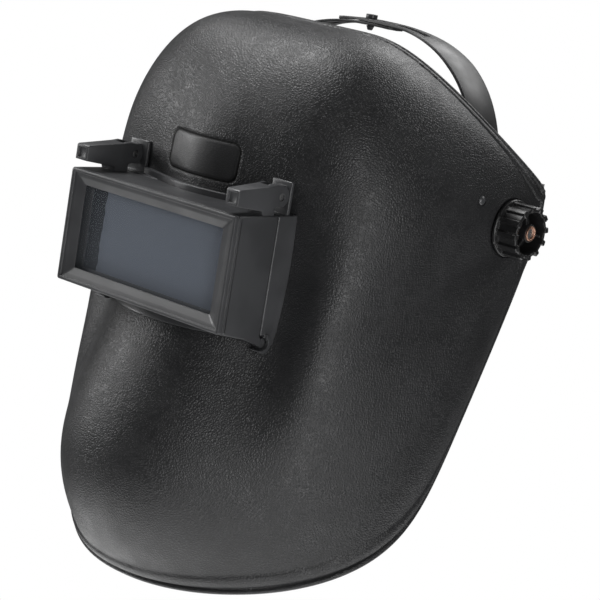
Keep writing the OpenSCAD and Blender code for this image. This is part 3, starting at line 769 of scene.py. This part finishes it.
# ---------------------------------------------------------------- flip-up lens holder
tube = side_prism(-BOX_W / 2, BOX_W / 2, [
    (FACE_Y + 1.2, BOTTOM), (FACE_Y + 1.2, TOP), (SEAM_Y, TOP), (SEAM_Y, BOTTOM - SLOPE)])
soften(tube, 0.9, 3)
peg_arm = [(-136, -66), (PEG[0] - 3.2, -66), (PEG[0] - 1.5, PEG[1] + 1),
           (PEG[0] - 1.5, PEG[1] - 1.6), (-136, -67.5)]
boolean(tube, [side_prism(*span_x(s, 54, BOX_W / 2), peg_arm) for s in (1, -1)], "UNION")
HOLLOW_X, HOLLOW_Y, TUBE_WALL = 57.25, -153, 2.5
hollow = side_prism(-HOLLOW_X, HOLLOW_X, [
    (HOLLOW_Y, BOTTOM + TUBE_WALL), (HOLLOW_Y, TOP - TUBE_WALL), (SEAM_Y + 1, TOP - TUBE_WALL),
    (SEAM_Y + 1, BOTTOM + TUBE_WALL - SLOPE)])
boolean(tube, [hollow, skin_block(HOLDER_PROUD)])


def rounded_rect(hx, hz, r, steps=8):
    pts = []
    for cx, cz, a0 in ((1, 1, 0), (-1, 1, 90), (-1, -1, 180), (1, -1, 270)):
        for a in np.radians(np.linspace(a0, a0 + 90, steps)):
            pts.append((cx * (hx - r) + r * math.cos(a), cz * (hz - r) + r * math.sin(a)))
    return np.array(pts)


def loft(loops):
    """A closed skin over rings of equal length, with the last ring joined to the first."""
    n, m = len(loops[0]), len(loops)
    f = []
    for a in range(m):
        b = (a + 1) % m
        for i in range(n):
            j = (i + 1) % n
            f.append((a * n + i, a * n + j, b * n + j, b * n + i))
    return np.vstack(loops), f


def ring_at(hx, hz, depth, r):
    """A rounded rectangle round the window's middle, depth behind the front plane."""
    p = rounded_rect(hx, hz, r)
    return np.column_stack([p[:, 0], np.full(len(p), FACE_Y + depth), p[:, 1] + WIN_Z])


def face_loop(inset, depth, r):
    return ring_at(BOX_W / 2 - inset, BOX_H / 2 - inset, depth, r)


def opening_loop(extra, depth, r):
    return ring_at(50.2 + extra, 22 + extra * 0.85, depth, r)


# From the rear edge, over the side groove and the outer bead, down the step into the opening
face_rings = [
    face_loop(0.0, 5.0, 1.2), face_loop(0.0, 3.1, 1.2), face_loop(0.45, 3.0, 1.0),
    face_loop(0.45, 2.6, 1.0), face_loop(0.0, 2.4, 1.2), face_loop(0.0, 0.9, 1.2),
    face_loop(0.25, 0.3, 1.2), face_loop(0.8, 0.0, 1.0), face_loop(1.5, 0.0, 0.9),
    face_loop(2.0, 0.3, 0.8), face_loop(2.2, 0.9, 0.7), face_loop(2.6, 1.1, 0.6),
    opening_loop(4.6, 1.2, 1.4), opening_loop(4.3, 1.4, 1.4), opening_loop(0.4, 2.4, 1.0),
    opening_loop(0.0, 2.7, 0.9), opening_loop(0.1, 3.2, 0.9), opening_loop(2.4, 5.0, 1.2)]
bezel = make("bezel", *loft(face_rings))
boolean(tube, [block((-70, -160, -100), (70, FACE_Y + 4.6, 20))])
flip_form = joined([tube, bezel], "flip_frame_form")
dress(flip_form, "frame_plastic", "flip_front", "flip_frame", angle=32)


def hinge_arm(side):
    """Arm on the holder's top, tapered inside, forked round the lug, with a panel in front."""
    out = side_prism(*span_x(side, *ARM), arm_profile())
    outline = [(ARM[0] - 1, -160), (ARM[0] + 3.3, -160), (ARM[0], -126.7), (ARM[0] - 1, -126.7)]
    turned = -side              # mirrored points need their faces turned round
    taper = solid([(side * x, y, z) for z in (-20, 40) for x, y in outline],
                  [(0, 1, 2, 3)[::turned], (4, 5, 6, 7)[::side], (0, 4, 5, 1)[::turned],
                   (1, 5, 6, 2)[::turned], (2, 6, 7, 3)[::turned], (3, 7, 4, 0)[::turned]])
    boolean(out, [taper])
    soften(out, 0.6, 3)
    boolean(out, [side_block(side, (49.6, 56), (HINGE[0] - 7.4, HINGE[0] + 12), (-20, 20))])
    boolean(out, [rod_x(*span_x(side, 46, 60), PIN_HOLE, HINGE)])
    panel = side_block(side, (ARM[0] + 4.6, ARM[1] - 1.4), (-157, -155.4), (1.9, 7.3))
    boolean(out, [soften(panel, 0.35, 2)])
    name = side_name(side, "hinge_arm")
    out.name = name + "_form"
    return dress(out, "frame_plastic", "flip_front", name, angle=30)


mirrored(hinge_arm)

# ---------------------------------------------------------------- tension knobs
KNOB_STEPS = 288        # points round a knob
KNOB_RIBS, KNOB_NICKS, KNOB_WEBS = 12, 6, 3
KNOB_BORE = 3.94


def knob_form(side):
    """Knob lofted along its axis: flange, ribbed barrel, scalloped end, hollow front and hub."""
    a = np.linspace(0, 2 * math.pi, KNOB_STEPS, endpoint=False)
    wave = (a * KNOB_RIBS / (2 * math.pi)) % 1.0
    rib = step(wave, 0.0, 0.09) - step(wave, 0.42, 0.51)
    teeth = 0.5 * (1 - wave) * step(wave, 0.0, 0.06)
    nick = 0.5 * (np.abs(((a * KNOB_NICKS / (2 * math.pi)) % 1.0) - 0.5) < 0.05)
    barrel = 13.1 + 1.35 * rib
    # (radius, distance out from the knob's seat)
    rings = [(KNOB_BORE, 0), (14.9, 0), (15.4, 0.3), (15.5, 0.8), (15.5 - nick, 1.7),
             (15.1, 2.1), (14.6, 2.2), (barrel, 2.5), (barrel + 0.05, 6), (barrel + 0.1, 12.6),
             (barrel + 0.1, 13.4 + 0.5 * rib + teeth), (barrel - 0.25, 13.9 + 0.5 * rib + teeth),
             (12.3, 14.1 + 0.5 * rib + teeth), (11.6, 13.9 + 0.4 * rib + teeth), (11.3, 13.2),
             (11.2, 4.6), (10.7, 4.0), (5.6, 4.0), (5.1, 4.4), (4.9, 13.2),
             (4.7, 13.6), (4.1, 13.6), (KNOB_BORE, 13.4)]
    loops = []
    for r, x in rings:
        out_x = np.broadcast_to(side * (KNOB_X + x), a.shape)
        loops.append(np.column_stack([out_x, r * np.cos(a), r * np.sin(a)]))
    parts = [solid(*loft(loops))]
    for k in range(KNOB_WEBS):
        web = side_block(side, (KNOB_X + 3, KNOB_X + 12), (-0.7, 0.7), (4.5, 11.6))
        angle = math.radians(360 / KNOB_WEBS * k + 20)
        web.data.transform(Matrix.Rotation(angle, 4, "X"))
        parts.append(soften(web, 0.25, 2))
    name = side_name(side, "tension_knob")
    obj = joined(parts, name + "_form")
    dress(obj, "frame_plastic", side_name(side, "knob"), name, angle=30)
    obj.data.materials[0] = knob_black


mirrored(knob_form)

# ---------------------------------------------------------------- headgear, softened edges
EDGE_WIDTHS = {
    "ratchet_knob": 0.7, "ratchet_housing": 0.5, "ratchet_cover": 0.6,
    "crown_strap_left": 0.35, "crown_strap_right": 0.35, "strap_rivets": 0.5, "crown_peg": 0.4,
    "tilt_stop_left": 0.5, "tilt_stop_right": 0.5, "inner_bezel": 0.5, "stop_pins": 0.3,
    "pivot_stud_left": 0.4, "pivot_stud_right": 0.4, "knob_insert_left": 0.3,
    "knob_insert_right": 0.3, "lens_keeper": 0.3, "latch_pegs": 0.4, "hinge_pins": 0.3}
for node, width in EDGE_WIDTHS.items():
    rounded_copy(node, width)

# ---------------------------------------------------------------- soft pads
PAD_VOXEL, PAD_INSET, PAD_GROWTH = 2.2, 0.7, 1.3
PAD_PRESSURE, PAD_FRAMES = 4.0, 20


def plump(node):
    """A padded piece: a CAD solid drawn in, then blown up as cloth by PAD_GROWTH at most."""
    mesh = frame["nodes"][node].data.copy()
    obj = place_mesh(node + "_pad", mesh)
    mesh.materials.clear()
    bm = bmesh.new()
    bm.from_mesh(mesh)
    bmesh.ops.remove_doubles(bm, verts=bm.verts, dist=0.01 * MM)
    bm.to_mesh(mesh)
    bm.free()
    m = obj.modifiers.new("remesh", "REMESH")
    m.mode, m.voxel_size = "VOXEL", PAD_VOXEL * MM
    settle(obj)
    smooth(obj.data, 180)
    start = np.array([v.co[:] for v in obj.data.vertices])
    pull = np.array([v.normal[:] for v in obj.data.vertices]) * PAD_INSET * MM
    start -= pull
    for v, p in zip(obj.data.vertices, start):
        v.co = p
    cloth = obj.modifiers.new("cloth", "CLOTH")
    cs = cloth.settings
    cs.quality, cs.mass = 6, 0.2
    cs.use_pressure, cs.uniform_pressure_force = True, PAD_PRESSURE
    cs.effector_weights.gravity = 0.0
    cs.tension_stiffness = cs.compression_stiffness = 12
    cloth.point_cache.frame_start, cloth.point_cache.frame_end = 1, PAD_FRAMES
    for f in range(1, PAD_FRAMES + 1):
        bpy.context.scene.frame_set(f)
    dg = bpy.context.evaluated_depsgraph_get()
    grown = np.array([v.co[:] for v in obj.evaluated_get(dg).data.vertices])
    obj.modifiers.clear()
    move = grown - start
    far = np.linalg.norm(move, axis=1, keepdims=True)
    start = start + move * np.minimum(1, PAD_GROWTH * MM / np.maximum(far, 1e-9))
    bpy.context.scene.frame_set(1)
    for v, p in zip(obj.data.vertices, start):
        v.co = p
    sub = obj.modifiers.new("sub", "SUBSURF")
    sub.levels = sub.render_levels = 1
    settle(obj)
    obj.data.materials.append(mats["sweat_fabric"])
    smooth(obj.data, 180)
    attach(obj, "headgear")
    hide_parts(node)


plump("sweatband")
plump("rear_pad")

# ---------------------------------------------------------------- floor, light and camera
scene = bpy.context.scene
scene.view_settings.view_transform = "Standard"


def white_paper():
    """Studio sweep, glowing so that it stays white in the shade."""
    n = Nodes("floor")
    white = (0.95, 0.95, 0.95)
    colour = n.blend(n.noise(3.0, 2.0), shade(white, 0.985), shade(white, 1.0))
    return n.set(Base_Color=colour, Roughness=0.9, Emission_Color=rgb(1, 1, 1),
                 Emission_Strength=0.92)


FLOOR_HALF, FLOOR_Z = 800, -700
floor = make("floor", [(x * FLOOR_HALF, y * FLOOR_HALF, FLOOR_Z)
                       for x, y in ((-1, -1), (1, -1), (1, 1), (-1, 1))], [(0, 1, 2, 3)])
floor.data.materials.append(white_paper())

world = bpy.data.worlds.new("studio")
scene.world = world
world.use_nodes = True
wt = world.node_tree
back = wt.nodes["Background"]
path = wt.nodes.new("ShaderNodeLightPath")
level = wt.nodes.new("ShaderNodeMapRange")
level.inputs["To Min"].default_value = 0.10        # as light on the helmet
level.inputs["To Max"].default_value = 1.0         # as seen behind it
wt.links.new(path.outputs["Is Camera Ray"], level.inputs["Value"])
wt.links.new(level.outputs["Result"], back.inputs["Strength"])
back.inputs["Color"].default_value = (1, 1, 1, 1)


def lamp(name, place, target, size, watts):
    """Area light; place, target and size are in metres."""
    data = bpy.data.lights.new(name, "AREA")
    data.shape, data.size, data.size_y, data.energy = "RECTANGLE", size[0], size[1], watts
    obj = bpy.data.objects.new(name, data)
    scene.collection.objects.link(obj)
    obj.location = place
    obj.rotation_euler = (Vector(target) - Vector(place)).to_track_quat("-Z", "Y").to_euler()


lamp("overhead", (-0.75, -0.25, 1.35), (0, -0.06, 0), (0.9, 0.7), 21)
lamp("left", (-1.35, -0.8, 0.35), (0, -0.1, 0), (0.5, 0.9), 12)
lamp("right", (1.5, -0.75, -0.1), (0, -0.05, -0.05), (0.5, 1.2), 13)
lamp("floor_glow", (0.0, 0.9, 0.9), (0, 0, 0), (1.2, 0.6), 10)

# Directions of the picture's right and bottom edges and of the view itself
RIGHT, DOWN = (0.7341, 0.66, 0.1599), (0.2447, -0.0374, -0.9689)
AHEAD = (-0.6335, 0.7504, -0.1889)
CAMERA_PLACE = (0.7722, -0.9429, 0.1643)
cam_data = bpy.data.cameras.new("camera")
cam_data.sensor_width, cam_data.lens = 36.0, 132.0
cam_data.clip_start, cam_data.clip_end = 0.05, 40.0
camera = bpy.data.objects.new("camera", cam_data)
scene.collection.objects.link(camera)
turn = Matrix((RIGHT, [-c for c in DOWN], [-c for c in AHEAD])).transposed().to_4x4()
camera.matrix_world = Matrix.Translation(CAMERA_PLACE) @ turn
scene.camera = camera
